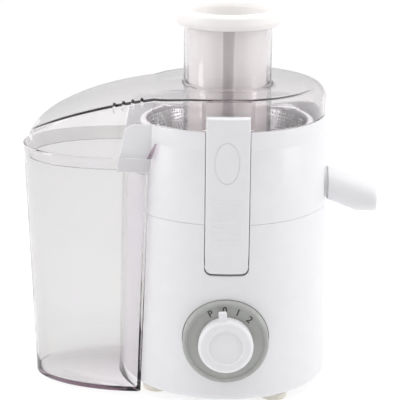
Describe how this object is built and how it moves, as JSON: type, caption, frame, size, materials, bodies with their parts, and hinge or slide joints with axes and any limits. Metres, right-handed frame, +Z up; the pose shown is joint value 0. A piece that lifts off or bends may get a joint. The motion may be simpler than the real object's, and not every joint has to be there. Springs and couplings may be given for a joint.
{
  "type": "centrifugal juicer",
  "caption": "Upright centrifugal juicer: white drum body, clear teardrop lid with feed tube and pusher, side pulp container, spout, clip latches and a rotary dial.",
  "frame": {"origin": "on the resting surface, under the middle of the whole object's box; the drive axis stands 20.15 mm towards +X and 4.6 mm towards +Y of it", "axes": "+Z up along the drive axis, -Y out of the front with the dial, +X towards the juice spout, -X towards the pulp container"},
  "size_m": [0.2724, 0.1774, 0.291],
  "materials": {
    "white_body": "satin white ABS",
    "clear_plastic": "clear polished, faint pink-grey tint",
    "cream_plastic": "satin warm white",
    "dial_grey": "satin grey-green",
    "foot_rubber": "matte cream",
    "seal_rubber": "matte black",
    "black_plastic": "matte black",
    "capacitor_film": "yellow film",
    "stainless_steel": "bright stainless",
    "zinc_steel": "zinc plated",
    "laminated_iron": "laminated",
    "enamelled_copper": "enamelled copper"
  },
  "bodies": {
    "base": {"motor_housing": "white_body", "bottom_cover": "white_body", "cord_gland": "white_body", "juice_collector": "white_body", "juice_spout": "white_body", "dial_ring": "dial_grey", "foot_front_right": "foot_rubber", "foot_front_left": "foot_rubber", "foot_rear_left": "foot_rubber", "foot_rear_right": "foot_rubber", "shaft_seal": "seal_rubber", "motor_mount_1": "seal_rubber", "motor_mount_2": "seal_rubber", "motor_mount_3": "seal_rubber", "motor_mount_4": "seal_rubber", "rotary_switch": "black_plastic", "interlock_switch": "black_plastic", "brush_holder_left": "black_plastic", "brush_holder_right": "black_plastic", "carbon_brush_left": "black_plastic", "carbon_brush_right": "black_plastic", "suppression_capacitor": "capacitor_film", "upper_bearing": "stainless_steel", "lower_bearing": "stainless_steel", "cover_screw_1": "zinc_steel", "cover_screw_2": "zinc_steel", "cover_screw_3": "zinc_steel", "cover_screw_4": "zinc_steel", "motor_screw_1": "zinc_steel", "motor_screw_2": "zinc_steel", "motor_screw_3": "zinc_steel", "motor_screw_4": "zinc_steel", "upper_bearing_bracket": "zinc_steel", "lower_bearing_bracket": "zinc_steel", "front_clip_pin": "zinc_steel", "rear_clip_pin": "zinc_steel", "stator_core": "laminated_iron", "field_coil_left": "enamelled_copper", "field_coil_right": "enamelled_copper"},
    "rotor": {"motor_shaft": "zinc_steel", "armature_core": "laminated_iron", "armature_winding_upper": "enamelled_copper", "armature_winding_lower": "enamelled_copper", "commutator": "enamelled_copper", "cooling_fan": "black_plastic", "drive_coupling": "black_plastic", "basket_hub": "white_body", "grater_disc": "stainless_steel", "filter_mesh": "stainless_steel", "basket_rim": "white_body"},
    "lid": {"lid": "clear_plastic"},
    "pusher": {"pusher": "cream_plastic"},
    "container": {"pulp_container": "clear_plastic"},
    "front_clip": {"front_clip": "white_body"},
    "rear_clip": {"rear_clip": "white_body"},
    "knob": {"speed_knob": "white_body", "switch_spindle": "zinc_steel"},
    "interlock": {"interlock_plunger": "black_plastic"}
  },
  "joints": [
    {"name": "drive_spin", "type": "hinge", "parent": "base", "child": "rotor", "pos_m": [0.02015, 0.0046, 0.15], "axis": [0, 0, 1], "continuous": true},
    {"name": "lid_lift", "type": "slide", "parent": "base", "child": "lid", "axis": [0, 0, 1], "range_m": [0, 0.072]},
    {"name": "pusher_slide", "type": "slide", "parent": "lid", "child": "pusher", "axis": [0, 0, 1], "range_m": [0, 0.1]},
    {"name": "front_clip_swing", "type": "hinge", "parent": "base", "child": "front_clip", "pos_m": [0.02015, -0.0688, 0.1105], "axis": [1, 0, 0], "range_deg": [0, 81]},
    {"name": "rear_clip_swing", "type": "hinge", "parent": "base", "child": "rear_clip", "pos_m": [0.02015, 0.078, 0.1105], "axis": [-1, 0, 0], "range_deg": [0, 81]},
    {"name": "knob_turn", "type": "hinge", "parent": "base", "child": "knob", "pos_m": [0.02015, -0.0774, 0.054], "axis": [0, 1, 0], "range_deg": [-21, 51]},
    {"name": "container_pull", "type": "slide", "parent": "base", "child": "container", "axis": [-1, 0, 0], "range_m": [0, 0.08]},
    {"name": "interlock_travel", "type": "slide", "parent": "base", "child": "interlock", "axis": [0, -1, 0], "range_m": [0, 0.003]}
  ],
  "couplings": [
    {"joint": "front_clip_swing", "follows": "lid_lift", "rad_per_m": 19.4},
    {"joint": "rear_clip_swing", "follows": "lid_lift", "rad_per_m": 19.4},
    {"joint": "interlock_travel", "follows": "lid_lift", "ratio": 0.0416}
  ]
}
